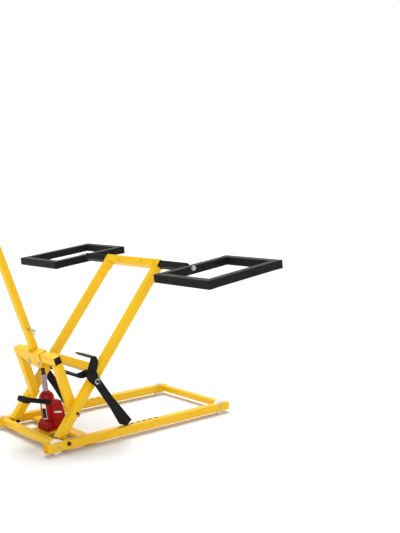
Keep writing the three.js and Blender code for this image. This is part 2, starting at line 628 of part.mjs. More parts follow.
function makeTray() {
  const inner = -TRAY_TUBE_OUT - SEAT_GAP;
  const outer = inner - TRAY_WIDTH;
  const sides = [-TRAY_FRONT + TUBE - WELD_LAP, TRAY_REAR - TUBE + WELD_LAP];
  const bars = [
    tubeY(outer, inner, -TRAY_FRONT + HALF, -TRAY_DROP, TUBE), tubeY(outer, inner, TRAY_REAR - HALF, -TRAY_DROP, TUBE),
    tubeX(...sides, inner - HALF, -TRAY_DROP, TUBE), tubeX(...sides, outer + HALF, -TRAY_DROP, TUBE),
  ];
  const r = TRAY_HOLE_RADIUS;
  const alongHoles = TRAY_HOLE_ALONG.flatMap((x) => [
    rodY(x, -TRAY_DROP, r, inner - TUBE - CUT_PAST, inner + CUT_PAST, SMALL_ROUND),
    rodY(x, -TRAY_DROP, r, outer - CUT_PAST, outer + TUBE + CUT_PAST, SMALL_ROUND),
  ]);
  const acrossHoles = TRAY_HOLE_ACROSS.flatMap((y) => [
    rodX(inner - y, -TRAY_DROP, r, -TRAY_FRONT - CUT_PAST, -TRAY_FRONT + TUBE + CUT_PAST, SMALL_ROUND),
    rodX(inner - y, -TRAY_DROP, r, TRAY_REAR - TUBE - CUT_PAST, TRAY_REAR + CUT_PAST, SMALL_ROUND),
  ]);
  const pivot = rodY(0, 0, TRAY_PIN_RADIUS + TURN_GAP, inner - TUBE - CUT_PAST, inner + CUT_PAST);
  return cut(join(...bars), ...alongHoles, ...acrossHoles, pivot);
}

pair(tray, "tray", makeTray(), BLACK);

// Safety legs on shouldered bolts, with the release hook between leg and arm
const hookY = ARM_Y - HOOK_SIDE_GAP - HOOK_THICK;
const legPlate = cut(
  plate(LEG_OUTLINE, LEG_Y, LEG_Y + LEG_THICK),
  rodY(0, 0, LEG_BOLT_RADIUS + TURN_GAP, LEG_Y - CUT_PAST, LEG_Y + LEG_THICK + CUT_PAST),
);
pair(leg, "leg", legPlate, BLACK);
const washerY = LEG_Y - SEAT_GAP - LEG_WASHER;
const legBolt = join(
  rodY(0, 0, LEG_BOLT_RADIUS, washerY, armInner + WELD_LAP),
  rodY(0, 0, LEG_WASHER_RADIUS, washerY, LEG_Y - SEAT_GAP),
  rodY(0, 0, LEG_HEAD_RADIUS, washerY - LEG_HEAD, washerY, 6),
  rodY(0, 0, LEG_SHOULDER_RADIUS, LEG_Y + LEG_THICK + SEAT_GAP, hookY - SEAT_GAP),
  rodY(0, 0, LEG_HEAD_RADIUS, armInner, armInner + LEG_HEAD, 6),
);
pair(arm, "leg_bolt", legBolt.clone().translate(LEG_ALONG, 0, LEG_OFFSET), ZINC);

function makeHook() {
  const taper = (JAW_WIDTH * (1 - JAW_TIP_SHARE)) / 2;
  const far = JAW_X + JAW_WIDTH;
  const jawShape = new THREE.Shape(
    [
      [JAW_X, hookY], [far, hookY], [far, JAW_END - JAW_TAPER],
      [far - taper, JAW_END], [JAW_X + taper, JAW_END], [JAW_X, JAW_END - JAW_TAPER],
    ].map(([x, y]) => new THREE.Vector2(x, y)),
  );
  const jaw = new THREE.ExtrudeGeometry(jawShape, { depth: HOOK_THICK, bevelEnabled: false });
  jaw.translate(0, 0, JAW_TOP - HOOK_THICK);
  return cut(join(plate(HOOK_OUTLINE, hookY, hookY + HOOK_THICK), jaw), hookBore());
}

function hookBore() {
  return rodY(legAxis.x, legAxis.z, LEG_BOLT_RADIUS + TURN_GAP, hookY - CUT_PAST, hookY + HOOK_THICK + CUT_PAST);
}

piece(ground[0], "release_hook", makeHook(), BLACK());
const linkPlate = cut(plate(LINK_OUTLINE, hookY, hookY + HOOK_THICK), hookBore());
piece(ground[1], "far_link_plate", linkPlate, BLACK());
const linkStart = hookY + HOOK_THICK + SEAT_GAP;
const linkBar = block(LINK_X, LINK_X + LINK_WIDTH, linkStart, FRAME_WIDTH - linkStart, LINK_Z, LINK_Z + LINK_HEIGHT);
piece(ground[0], "link_bar", linkBar, BLACK());

// Jack seat: a plate hinged at its rear edge on the cross member's pin
function makeSeat() {
  const top = -SEAT_GAP;
  const near = MIDDLE - HINGE_BARREL_HALF;
  const far = MIDDLE + HINGE_BARREL_HALF;
  const web = HINGE_ALONG - LUG_RADIUS - CUT_PAST;
  const body = join(
    block(SEAT_FRONT, web, MIDDLE - SEAT_HALF, MIDDLE + SEAT_HALF, top - SEAT_THICK, top),
    block(web - WELD_LAP, HINGE_ALONG, near, far, top - SEAT_THICK, top),
    rodY(HINGE_ALONG, HINGE_UP, HINGE_BARREL_RADIUS, near, far),
  );
  return cut(body, rodY(HINGE_ALONG, HINGE_UP, HINGE_PIN_RADIUS + TURN_GAP, near - CUT_PAST, far + CUT_PAST));
}

piece(jack[0], "jack_seat", makeSeat(), YELLOW());

function makeJackBase() {
  const slab = block(BASE_FRONT, BASE_REAR, MIDDLE - BASE_HALF, MIDDLE + BASE_HALF, 0, BASE_SLAB);
  const height = BASE_HEIGHT - BASE_SLAB;
  const [wide, high] = [(BASE_REAR - BASE_FRONT) / 2, BASE_HALF];
  const rise = new THREE.CylinderGeometry(BASE_TOP_SHARE * Math.SQRT2, Math.SQRT2, height + WELD_LAP, 4);
  rise.rotateY(Math.PI / 4).rotateX(Math.PI / 2).scale(wide, high, 1);
  rise.translate((BASE_REAR + BASE_FRONT) / 2, MIDDLE, BASE_HEIGHT - (height + WELD_LAP) / 2);
  return cut(
    join(slab, rise),
    rodZ(0, MIDDLE, RAM_RADIUS + TURN_GAP, BORE_FLOOR, BASE_HEIGHT + CUT_PAST),
    rodY(VALVE_ALONG, VALVE_UP, VALVE_RADIUS + TURN_GAP, MIDDLE - BASE_HALF - CUT_PAST, MIDDLE - BASE_HALF + VALVE_DEPTH),
    pumpBlank(SEAT_GAP),
  );
}

// The pump block's blank, or the slightly larger space it fills in the base casting
function pumpBlank(grow = 0) {
  const outline = PUMP_OUTLINE.map(([x, z]) => [x + grow * Math.sign(x), z + grow * Math.sign(z - BASE_HEIGHT)]);
  return plate(outline, MIDDLE - PUMP_FACE - grow, MIDDLE - PUMP_DEEP + grow);
}

function makePump() {
  const near = MIDDLE - LEVER_SIDE + LEVER_SIZE / 2 + SEAT_GAP;
  const ear = join(
    block(LEVER_ALONG, 0, near, near + EAR_THICK, LEVER_UP - EAR_HALF, LEVER_UP + EAR_HALF / 4),
    rodY(LEVER_ALONG, LEVER_UP, EAR_HALF, near, near + EAR_THICK),
  );
  return cut(
    join(pumpBlank(), ear),
    rodZ(0, MIDDLE, CAP_RADIUS + SEAT_GAP, BASE_HEIGHT, CAP_TOP, 48),
    rodZ(0, MIDDLE, RAM_RADIUS + TURN_GAP, 0, BASE_HEIGHT + CUT_PAST),
    rodY(LEVER_ALONG, LEVER_UP, LEVER_PIN_RADIUS + TURN_GAP, near - CUT_PAST, near + EAR_THICK + CUT_PAST, SMALL_ROUND),
  );
}

piece(jack[0], "jack_base", makeJackBase(), RED());
piece(jack[0], "pump_block", makePump(), RED());

const boreRadius = RAM_RADIUS + TURN_GAP;
const tankBottom = BASE_HEIGHT + SEAT_GAP;
const tank = turned([[boreRadius, tankBottom], [TANK_RADIUS, tankBottom], [TANK_RADIUS, TANK_TOP], [boreRadius, TANK_TOP]], 48);
piece(jack[0], "jack_tank", tank.translate(0, MIDDLE, 0), RED());

const capBottom = TANK_TOP + SEAT_GAP;
const capProfile = CAP_SHARES.map(([r, h]) => [CAP_RADIUS * r, capBottom + (CAP_TOP - capBottom) * h]);
const cap = turned([[boreRadius, capBottom], ...capProfile, [boreRadius, CAP_TOP]], 48);
piece(jack[0], "jack_cap", cap.translate(0, MIDDLE, 0), RED());

const screwBore = SCREW_RADIUS + SEAT_GAP;
const ram = turned([
  [0, RAM_BOTTOM], [RAM_RADIUS, RAM_BOTTOM], [RAM_RADIUS, RAM_TOP], [screwBore, RAM_TOP],
  [screwBore, SCREW_BOTTOM - SEAT_GAP], [0, SCREW_BOTTOM - SEAT_GAP],
]);
piece(jack[0], "ram", ram.translate(0, MIDDLE, 0), RAM_STEEL());
const saddleEdge = SADDLE_TOP - SADDLE_DOME;
const ramSaddle = turned([
  [0, SCREW_BOTTOM], [SCREW_RADIUS, SCREW_BOTTOM], [SCREW_RADIUS, SADDLE_BOTTOM], [SADDLE_RADIUS, SADDLE_BOTTOM],
  [SADDLE_RADIUS, saddleEdge], [SADDLE_RADIUS * 0.6, SADDLE_TOP - SADDLE_DOME * 0.3], [0, SADDLE_TOP],
]);
piece(jack[0], "ram_saddle", ramSaddle.translate(0, MIDDLE, 0), DARK_STEEL());

// Pedal lever on the pump block's ear, with its pin and its foot pad
const leverSpot = (g) => g.rotateY(radians(LEVER_TILT)).translate(LEVER_ALONG, MIDDLE - LEVER_SIDE, LEVER_UP);

function makeLever() {
  const bar = tubeX(-LEVER_REACH, LEVER_TAIL, 0, 0, LEVER_SIZE, LEVER_SIZE, LEVER_WALL);
  const reach = LEVER_SIZE / 2;
  const pin = rodY(0, 0, LEVER_PIN_RADIUS, -reach - WELD_LAP, reach + SEAT_GAP + EAR_THICK, SMALL_ROUND);
  return leverSpot(join(bar, pin));
}

function makeSleeve() {
  const inner = LEVER_SIZE / 2 + SEAT_GAP;
  const start = -LEVER_REACH - SEAT_GAP;
  const body = new THREE.ExtrudeGeometry(roundedRectangle(FOOT_PAD_TALL, FOOT_PAD_WIDE, CORNER), {
    depth: FOOT_PAD_DEEP, bevelEnabled: false, curveSegments: 4,
  });
  body.rotateY(Math.PI / 2).translate(start - SLEEVE_WALL, 0, 0);
  const hollow = block(start, start + FOOT_PAD_DEEP * 2, -inner, inner, -inner, inner);
  return leverSpot(cut(body, hollow));
}

piece(jack[0], "pedal_lever", makeLever(), BLACK());
piece(jack[0], "pedal_sleeve", makeSleeve(), RUBBER());

const valveFace = MIDDLE - BASE_HALF - SEAT_GAP;
const valve = join(
  rodY(VALVE_ALONG, VALVE_UP, VALVE_RADIUS, valveFace - WELD_LAP, valveFace + VALVE_DEPTH - 1, SMALL_ROUND),
  rodY(VALVE_ALONG, VALVE_UP, VALVE_KNOB_RADIUS, valveFace - VALVE_KNOB, valveFace, 8),
);
piece(jack[0], "release_valve", valve, RED());

// The part's origin is the middle of its bounding box's underside
lift.updateMatrixWorld(true);
const bounds = new THREE.Box3().setFromObject(lift, true);
const centre = bounds.getCenter(new THREE.Vector3());
lift.position.set(-centre.x, -centre.y, -bounds.min.z);

export default lift;
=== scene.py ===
# Lawn mower lift: the welded yellow frame, its black wheel trays and safety legs, and the red bottle jack.
# Lengths below are millimetres, and MM turns them to metres. Places are from the near rail's lowest front corner
# or in a frame of reference of their own. The stage, at the end, is in metres.
import math

import bmesh
import bpy
from mathutils import Matrix, Vector


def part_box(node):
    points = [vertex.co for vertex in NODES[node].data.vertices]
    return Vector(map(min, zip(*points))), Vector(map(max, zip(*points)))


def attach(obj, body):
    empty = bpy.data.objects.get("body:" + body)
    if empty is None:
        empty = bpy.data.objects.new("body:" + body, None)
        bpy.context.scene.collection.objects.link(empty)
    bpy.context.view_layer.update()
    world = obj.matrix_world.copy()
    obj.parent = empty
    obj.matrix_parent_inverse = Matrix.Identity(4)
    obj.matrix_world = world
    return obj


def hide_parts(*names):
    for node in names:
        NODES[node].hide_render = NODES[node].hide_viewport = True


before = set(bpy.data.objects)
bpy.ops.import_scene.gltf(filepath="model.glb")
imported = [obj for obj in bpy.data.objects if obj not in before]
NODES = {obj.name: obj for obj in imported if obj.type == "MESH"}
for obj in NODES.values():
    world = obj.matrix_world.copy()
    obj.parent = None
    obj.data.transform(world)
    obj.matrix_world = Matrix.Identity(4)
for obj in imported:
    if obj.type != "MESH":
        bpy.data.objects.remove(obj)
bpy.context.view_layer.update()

MM = 0.001
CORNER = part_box("near_rail")[0]

# Sizes and places of the frame that more than one piece needs
WIDTH = 532.0
MIDDLE = WIDTH / 2
TUBE = 38.0
HALF = TUBE / 2
PLUG_HALF = 16.2
ARM_INNER = 90.8
ARM_PIVOT_X, ARM_PIVOT_Z = 100.9, 26.1
TRAY_PIVOT_X, TRAY_PIVOT_Z = 912, 9

OUT = {"near": Vector((0, -1, 0)), "far": Vector((0, 1, 0))}
UP = Vector((0, 0, 1))
FORWARD = Vector((-1, 0, 0))
BACK = Vector((1, 0, 0))


# Frames of reference, each named for what is built in it
def frame_on(base, x, z, tilt):
    """A frame at a spot of another one, with its X axis raised from level by this many degrees."""
    place = Matrix.Translation(base @ (Vector((x, 0.0, z)) * MM))
    return place @ Matrix.Rotation(-math.radians(tilt), 4, "Y")


GROUND = Matrix.Translation(CORNER)
ARM = frame_on(GROUND, ARM_PIVOT_X, ARM_PIVOT_Z, 52.4)
TOWER = frame_on(GROUND, 109, 367, 19)
HANDLE = frame_on(GROUND, 114, 385, 20.5)
JACK = frame_on(GROUND, 170.4, 21.8, 7)
JACK_CENTRE = JACK @ Matrix.Translation((0, MIDDLE * MM, 0))
TRAY = frame_on(ARM, TRAY_PIVOT_X, TRAY_PIVOT_Z, 8)


def across(side, y):
    """A distance from the outer face of the near rail, or the same one from the far rail's."""
    return y if side == "near" else WIDTH - y


def span(side, y0, y1):
    """Two such distances, the lower one first."""
    return sorted((across(side, y0), across(side, y1)))


# Finishes
def linear(hex_colour):
    """An sRGB hex colour as linear RGBA."""
    parts = [int(hex_colour[i : i + 2], 16) / 255 for i in (1, 3, 5)]
    return tuple(c / 12.92 if c <= 0.04045 else ((c + 0.055) / 1.055) ** 2.4 for c in parts) + (1.0,)


def add(tree, kind, links=None, **settings):
    """Adds a node: settings are its properties, links its inputs, each a number or another node's output."""
    made = tree.nodes.new(kind)
    for key, value in settings.items():
        setattr(made, key, value)
    for socket, value in (links or {}).items():
        if isinstance(value, bpy.types.NodeSocket):
            tree.links.new(value, made.inputs[socket])
        else:
            made.inputs[socket].default_value = value
    return made


def material(name):
    made = bpy.data.materials.new(name)
    made.use_nodes = True
    made.node_tree.nodes.clear()
    return made, made.node_tree


def per_mm(size):
    """The texture scale whose cells are this many millimetres across."""
    return 1000.0 / size


def shade(tree, colour, roughness, height=None, relief=0.0, **fixed):
    """The surface shader: colour and roughness are outputs or constants, relief is the bump's depth in mm."""
    links = {"Base Color": colour, "Roughness": roughness}
    for key, value in fixed.items():
        links[key.replace("_", " ")] = value
    if height is not None:
        bump = add(tree, "ShaderNodeBump", {"Height": height, "Distance": relief * MM, "Strength": 1.0})
        links["Normal"] = bump.outputs["Normal"]
    surface = add(tree, "ShaderNodeBsdfPrincipled", links)
    add(tree, "ShaderNodeOutputMaterial", {"Surface": surface.outputs["BSDF"]})


# A Mix node has sockets for each kind of value: these are its two colour inputs and its colour output
FIRST, SECOND, MIXED = 6, 7, 2


def powder_coat(name, body, deep, dusty, rough, orange_peel, ior, clear):
    """Polyester powder coat, sprayed and baked: a colour that drifts a little over the length of a tube, a fine
    orange peel, and a light dust that pales the colour and kills the shine in patches."""
    made, tree = material(name)
    place = add(tree, "ShaderNodeTexCoord").outputs["Object"]
    drift = add(tree, "ShaderNodeTexNoise", {
        "Vector": place, "Scale": per_mm(260), "Detail": 2.0, "Roughness": 0.5,
    })
    film = add(tree, "ShaderNodeMix", {
        "Factor": drift.outputs["Fac"], FIRST: linear(body), SECOND: linear(deep),
    }, data_type="RGBA")
    dust = add(tree, "ShaderNodeTexNoise", {
        "Vector": place, "Scale": per_mm(34), "Detail": 5.0, "Roughness": 0.62,
    })
    thin = add(tree, "ShaderNodeMapRange", {
        "Value": dust.outputs["Fac"], "From Min": 0.52, "From Max": 0.78, "To Min": 0.0, "To Max": 0.24,
    })
    coated = add(tree, "ShaderNodeMix", {
        "Factor": thin.outputs["Result"], FIRST: film.outputs[MIXED], SECOND: linear(dusty),
    }, data_type="RGBA")
    gloss = add(tree, "ShaderNodeMapRange", {
        "Value": dust.outputs["Fac"], "From Min": 0.3, "From Max": 0.75, "To Min": rough[0], "To Max": rough[1],
    })
    # Real orange peel is about 2 mm across, drawn here at 4 mm so that the render can hold it
    peel = add(tree, "ShaderNodeTexNoise", {"Vector": place, "Scale": per_mm(4), "Detail": 1.0, "Roughness": 0.4})
    shade(tree, coated.outputs[MIXED], gloss.outputs["Result"], peel.outputs["Fac"], orange_peel,
          IOR=ior, Coat_Weight=clear, Coat_Roughness=0.12)
    return made


def cast_enamel(name, body, deep, grain_mm, relief):
    """Gloss enamel over sand-cast iron or drawn tube: deep red, with the metal's grain showing through it."""
    made, tree = material(name)
    place = add(tree, "ShaderNodeTexCoord").outputs["Object"]
    pool = add(tree, "ShaderNodeTexNoise", {
        "Vector": place, "Scale": per_mm(42), "Detail": 3.0, "Roughness": 0.55,
    })
    film = add(tree, "ShaderNodeMix", {
        "Factor": pool.outputs["Fac"], FIRST: linear(body), SECOND: linear(deep),
    }, data_type="RGBA")
    gloss = add(tree, "ShaderNodeMapRange", {
        "Value": pool.outputs["Fac"], "From Min": 0.3, "From Max": 0.7, "To Min": 0.28, "To Max": 0.44,
    })
    grain = add(tree, "ShaderNodeTexNoise", {
        "Vector": place, "Scale": per_mm(grain_mm), "Detail": 3.0, "Roughness": 0.6,
    })
    shade(tree, film.outputs[MIXED], gloss.outputs["Result"], grain.outputs["Fac"], relief,
          IOR=1.28, Coat_Weight=0.06, Coat_Roughness=0.1)
    return made


def bare_metal(name, body, deep, rough, brush_mm, stretch, relief):
    """Plated, oiled or ground steel: a metal with a fine grain, which stretch can draw out into brush lines."""
    made, tree = material(name)
    place = add(tree, "ShaderNodeTexCoord").outputs["Object"]
    laid = add(tree, "ShaderNodeMapping", {"Vector": place, "Scale": stretch})
    lines = add(tree, "ShaderNodeTexNoise", {
        "Vector": laid.outputs["Vector"], "Scale": per_mm(brush_mm), "Detail": 3.0, "Roughness": 0.65,
    })
    stain = add(tree, "ShaderNodeTexNoise", {
        "Vector": place, "Scale": per_mm(14), "Detail": 3.0, "Roughness": 0.5,
    })
    film = add(tree, "ShaderNodeMix", {
        "Factor": stain.outputs["Fac"], FIRST: linear(body), SECOND: linear(deep),
    }, data_type="RGBA")
    gloss = add(tree, "ShaderNodeMapRange", {
        "Value": lines.outputs["Fac"], "From Min": 0.3, "From Max": 0.7, "To Min": rough[0], "To Max": rough[1],
    })
    shade(tree, film.outputs[MIXED], gloss.outputs["Result"], lines.outputs["Fac"], relief, Metallic=1.0)
    return made


def moulded(name, body, deep, rough, grain_mm, relief, ior):
    """Moulded nylon, rubber or plastic, or coated paper: matt, with a fine grain and scuffs of a second tone."""
    made, tree = material(name)
    place = add(tree, "ShaderNodeTexCoord").outputs["Object"]
    scuff = add(tree, "ShaderNodeTexNoise", {
        "Vector": place, "Scale": per_mm(11), "Detail": 6.0, "Roughness": 0.66,
    })
    spread = add(tree, "ShaderNodeMapRange", {"Value": scuff.outputs["Fac"], "From Min": 0.42, "From Max": 0.7})
    film = add(tree, "ShaderNodeMix", {
        "Factor": spread.outputs["Result"], FIRST: linear(body), SECOND: linear(deep),
    }, data_type="RGBA")
    gloss = add(tree, "ShaderNodeMapRange", {
        "Value": scuff.outputs["Fac"], "From Min": 0.3, "From Max": 0.7, "To Min": rough[0], "To Max": rough[1],
    })
    grain = add(tree, "ShaderNodeTexNoise", {
        "Vector": place, "Scale": per_mm(grain_mm), "Detail": 2.0, "Roughness": 0.5,
    })
    shade(tree, film.outputs[MIXED], gloss.outputs["Result"], grain.outputs["Fac"], relief, IOR=ior)
    return made


# Yellow gloss powder coat on steel tube: warm, and a little paler where dust lies
YELLOW = powder_coat("yellow_powder_coat", "#F1C006", "#EBB705", "#ECC632", (0.34, 0.5), 0.05, 1.38, 0.05)
# Black satin powder coat on the trays, legs and lever: never quite black, greyed by dust
BLACK = powder_coat("black_powder_coat", "#131313", "#171716", "#1D1D1B", (0.46, 0.62), 0.05, 1.22, 0.0)
# Red gloss enamel on the jack's castings, whose sand grain lifts the film
RED_CAST = cast_enamel("red_enamel_on_casting", "#A2070B", "#8C0509", 3.2, 0.12)
# The same enamel on the jack's drawn tank and cap, which are smooth
RED_DRAWN = cast_enamel("red_enamel_on_tube", "#A2070B", "#8C0509", 7.0, 0.03)
# Bright zinc plate on bolts, pins and screws: bluish grey with a soft shine
ZINC = bare_metal("zinc_plated_steel", "#C9CBCC", "#B4B3AB", (0.24, 0.42), 1.2, (1, 1, 1), 0.02)
# Black oxide on the high-strength bolts and the jack's saddle: oily and dark
DARK = bare_metal("black_oxide_steel", "#4A4441", "#332E2C", (0.34, 0.52), 1.5, (1, 1, 1), 0.03)
# Ground steel of the ram under a film of oil: mauve grey, with fine rings round it
RAM = bare_metal("ground_ram_steel", "#A89CA1", "#8F8388", (0.14, 0.26), 2.0, (0.15, 0.15, 1.6), 0.01)
# Cast nylon of the rollers: cream, satin, scuffed on the tread
NYLON = moulded("cast_nylon", "#F1EBD9", "#E2D8BF", (0.38, 0.55), 1.4, 0.05, 1.53)
# Moulded rubber of the stop pads and the lever's sleeve: matt black
RUBBER = moulded("moulded_rubber", "#0D0D0D", "#161615", (0.62, 0.85), 0.9, 0.08, 1.3)
# Moulded polyethylene of the handle's plug: matt black, a little waxy
PLASTIC = moulded("moulded_polyethylene", "#0A0A0A", "#111110", (0.5, 0.66), 1.1, 0.05, 1.3)
# Coated paper of the jack's blank labels: off-white, faintly yellowed at random
PAPER = moulded("label_paper", "#EDEAE4", "#DAD4CA", (0.4, 0.55), 2.5, 0.02, 1.45)


# Vertices nearer to each other than this are one
SAME_SPOT = 0.01 * MM
# How far the edges of a tube and of a cut plate are broken
TUBE_EDGE = 0.6
PLATE_EDGE = 0.8


# Modelling by hand: every helper leaves object mode on and one piece active
def only(piece):
    bpy.ops.object.select_all(action="DESELECT")
    piece.select_set(True)
    bpy.context.view_layer.objects.active = piece


def edit(piece, kind="FACE"):
    only(piece)
    bpy.ops.object.mode_set(mode="EDIT")
    bpy.ops.mesh.select_mode(type=kind)
    bpy.ops.mesh.select_all(action="SELECT")


def leave():
    bpy.ops.object.mode_set(mode="OBJECT")


def pick(piece, wanted, kind="faces"):
    """Selects the faces, edges or vertices of the piece in edit mode that the test wants."""
    shape = bmesh.from_edit_mesh(piece.data)
    bpy.ops.mesh.select_all(action="DESELECT")
    for item in getattr(shape, kind):
        item.select = bool(wanted(item))
    shape.select_flush_mode()
    bmesh.update_edit_mesh(piece.data)


def turned(profile, sides):
    """A turned piece about Z: a disc drawn up ring by ring through [radius, height] points."""
    bpy.ops.object.select_all(action="DESELECT")
    radius, height = profile[0]
    bpy.ops.mesh.primitive_circle_add(
        vertices=sides, radius=radius * MM, fill_type="NGON", location=(0, 0, height * MM)
    )
    made = bpy.context.object
    edit(made)
    for wide, high in profile[1:]:
        bpy.ops.mesh.extrude_region_move(TRANSFORM_OT_translate={"value": (0, 0, (high - height) * MM)})
        grow = wide / radius
        bpy.ops.transform.resize(value=(grow, grow, 1), center_override=(0, 0, high * MM))
        radius, height = wide, high
    bpy.ops.mesh.select_all(action="SELECT")
    bpy.ops.mesh.normals_make_consistent(inside=False)
    leave()
    return made


def bored(profile, sides):
    """A turned piece with a hole right through it: the profile goes round its section and closes on itself."""
    made = turned(profile + [profile[0]], sides)
    edit(made)
    pick(made, lambda face: len(face.verts) > 4)
    bpy.ops.mesh.delete(type="FACE")
    bpy.ops.mesh.select_all(action="SELECT")
    bpy.ops.mesh.remove_doubles(threshold=SAME_SPOT)
    bpy.ops.mesh.normals_make_consistent(inside=False)
    leave()
    return made


# The share of a bolt head's radius that its corners lose
HEAD_CHAMFER = 0.16


def hexagon(radius, low, high):
    """A nut or bolt head: a six-sided prism with its outer corners chamfered."""
    bpy.ops.object.select_all(action="DESELECT")
    bpy.ops.mesh.primitive_cylinder_add(
        vertices=6, radius=radius * MM, depth=(high - low) * MM, location=(0, 0, (high + low) / 2 * MM)
    )
    made = bpy.context.object
    edit(made, "VERT")
    pick(made, lambda corner: corner.co.z > 0, "verts")
    bpy.ops.mesh.bevel(offset=radius * HEAD_CHAMFER * MM, affect="VERTICES")
    leave()
    return made


def block(x0, x1, y0, y1, z0, z1):
    """A cut plate or bar, with its edges still sharp."""
    bpy.ops.object.select_all(action="DESELECT")
    middle = Vector(((x0 + x1) / 2, (y0 + y1) / 2, (z0 + z1) / 2)) * MM
    bpy.ops.mesh.primitive_cube_add(size=1, location=middle)
    made = bpy.context.object
    edit(made)
    bpy.ops.transform.resize(
        value=((x1 - x0) * MM, (y1 - y0) * MM, (z1 - z0) * MM), center_override=middle
    )
    leave()
    return made


def joined(parts):
    bpy.ops.object.select_all(action="DESELECT")
    for part in parts:
        part.select_set(True)
    bpy.context.view_layer.objects.active = parts[0]
    if len(parts) > 1:
        bpy.ops.object.join()
    return bpy.context.object


def moved(piece, matrix):
    """Puts a piece into its frame, with the place in its mesh."""
    only(piece)
    piece.matrix_world = matrix @ piece.matrix_world
    bpy.ops.object.transform_apply(location=True, rotation=True, scale=True)
    return piece


def rounded(piece, width, segments=2, angle=35):
    """Breaks the sharp edges, as a grinder or a mould does."""
    only(piece)
    edge = piece.modifiers.new("edge", "BEVEL")
    edge.width = width * MM
    edge.segments = segments
    edge.limit_method = "ANGLE"
    edge.angle_limit = math.radians(angle)
    edge.use_clamp_overlap = False
    edge.loop_slide = False
    bpy.ops.object.modifier_apply(modifier=edge.name)
    return piece


def finished(piece, name, body, coat, stands_for=(), smooth=40):
    """Names a piece, smooths its shading, coats it and hangs it on its body."""
    only(piece)
    piece.name = name
    piece.data.name = name
    bpy.ops.object.transform_apply(location=True, rotation=True, scale=True)
    bpy.ops.object.shade_smooth_by_angle(angle=math.radians(smooth))
    even = piece.modifiers.new("even", "WEIGHTED_NORMAL")
    even.keep_sharp = True
    bpy.ops.object.modifier_apply(modifier=even.name)
    piece.data.materials.clear()
    piece.data.materials.append(coat)
    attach(piece, body)
    if stands_for:
        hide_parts(*stands_for)


def within(piece, solid):
    """Keeps a piece's vertices inside the box of the solid that it stands for."""
    corners = [Vector(corner) for corner in solid.bound_box]
    limits = [(min(c[i] for c in corners), max(c[i] for c in corners)) for i in range(3)]
    for vertex in piece.data.vertices:
        vertex.co = [min(max(value, low), high) for value, (low, high) in zip(vertex.co, limits)]


def dressed(node, body, coat, width, segments=2, angle=35):
    """A solid's own shape with its edges broken."""
    piece = NODES[node].copy()
    piece.data = NODES[node].data.copy()
    piece.parent = None
    for key in list(piece.keys()):
        del piece[key]
    bpy.context.scene.collection.objects.link(piece)
    edit(piece)
    bpy.ops.mesh.remove_doubles(threshold=SAME_SPOT)
    leave()
    rounded(piece, width, segments, angle)
    within(piece, NODES[node])
    finished(piece, node + "_finished", body, coat, [node])


def aimed(frame_matrix, spot, outward):
    """The frame of a bolt: at a spot, with Z pointing outward."""
    turn = UP.rotation_difference(outward).to_matrix().to_4x4()
    return frame_matrix @ Matrix.Translation(Vector(spot) * MM) @ turn


# A thread's pitch, the shares of its radius at its root and at its chamfered end, and the steps of a domed end
THREAD_PITCH = 1.5
THREAD_ROOT = 0.86
THREAD_END = 0.7
DOME_ANGLES = (20, 40, 60, 78)


def bolt(stack, place):
    """A bolt, screw or pin from its inner end outwards: (shape, radius, length) parts set one on another."""
    height, parts = 0.0, []
    for shape, radius, length in stack:
        top = height + length
        if shape == "hex":
            parts.append(hexagon(radius, height, top))
        elif shape == "thread":
            root, turns = radius * THREAD_ROOT, max(2, int(length / THREAD_PITCH))
            profile = [[root, height]]
            for i in range(turns):
                low = height + (i + 0.25) * length / turns
                profile += [[radius, low], [root, low + 0.5 * length / turns]]
            parts.append(turned(profile + [[radius * THREAD_END, top]], 24))
        elif shape == "dome":
            arc = [(math.cos(math.radians(a)), math.sin(math.radians(a))) for a in DOME_ANGLES]
            profile = [[radius, height]] + [[radius * wide, height + length * high] for wide, high in arc]
            parts.append(turned(profile, 32))
        else:
            soft = min(0.5, radius / 6, length / 3)
            side = [[radius, height + soft], [radius, top - soft]]
            parts.append(turned([[radius - soft, height]] + side + [[radius - soft, top]], 32))
        height = top
    return moved(joined(parts), place)


def fastener(node, stack, place, body, finish="plated", coat=ZINC):
    """A bolt, screw or pin that stands for the node of its name."""
    finished(bolt(stack, place), f"{node}_{finish}", body, coat, [node])


# Real ripples are about 1.5 mm apart, drawn here at 3.5 mm so that the render can hold them. The others are the
# shares of the bead's radius in the dip between two ripples and at either end
RIPPLE = 3.5
RIPPLE_DIP = 0.84
BEAD_START = 0.35
BEAD_END = 0.3


def bead(length, radius):
    """A weld bead along Z: overlapping ripples left by the torch."""
    count = max(3, round(length / RIPPLE))
    profile = [[radius * BEAD_START, 0.0]]
    for i in range(count):
        profile.append([radius, (i + 0.4) * length / count])
        profile.append([radius * RIPPLE_DIP, (i + 0.95) * length / count])
    profile[-1] = [radius * BEAD_END, length]
    return turned(profile, 10)


def welds(name, body, lines, radius, coat=YELLOW):
    """Weld beads along lines, each (frame, start, end), coated with the tubes that they join."""
    parts = []
    for frame_matrix, start, end in lines:
        start, end = Vector(start), Vector(end)
        run = end - start
        parts.append(moved(bead(run.length, radius), aimed(frame_matrix, start, run.normalized())))
    finished(joined(parts), name, body, coat, smooth=60)


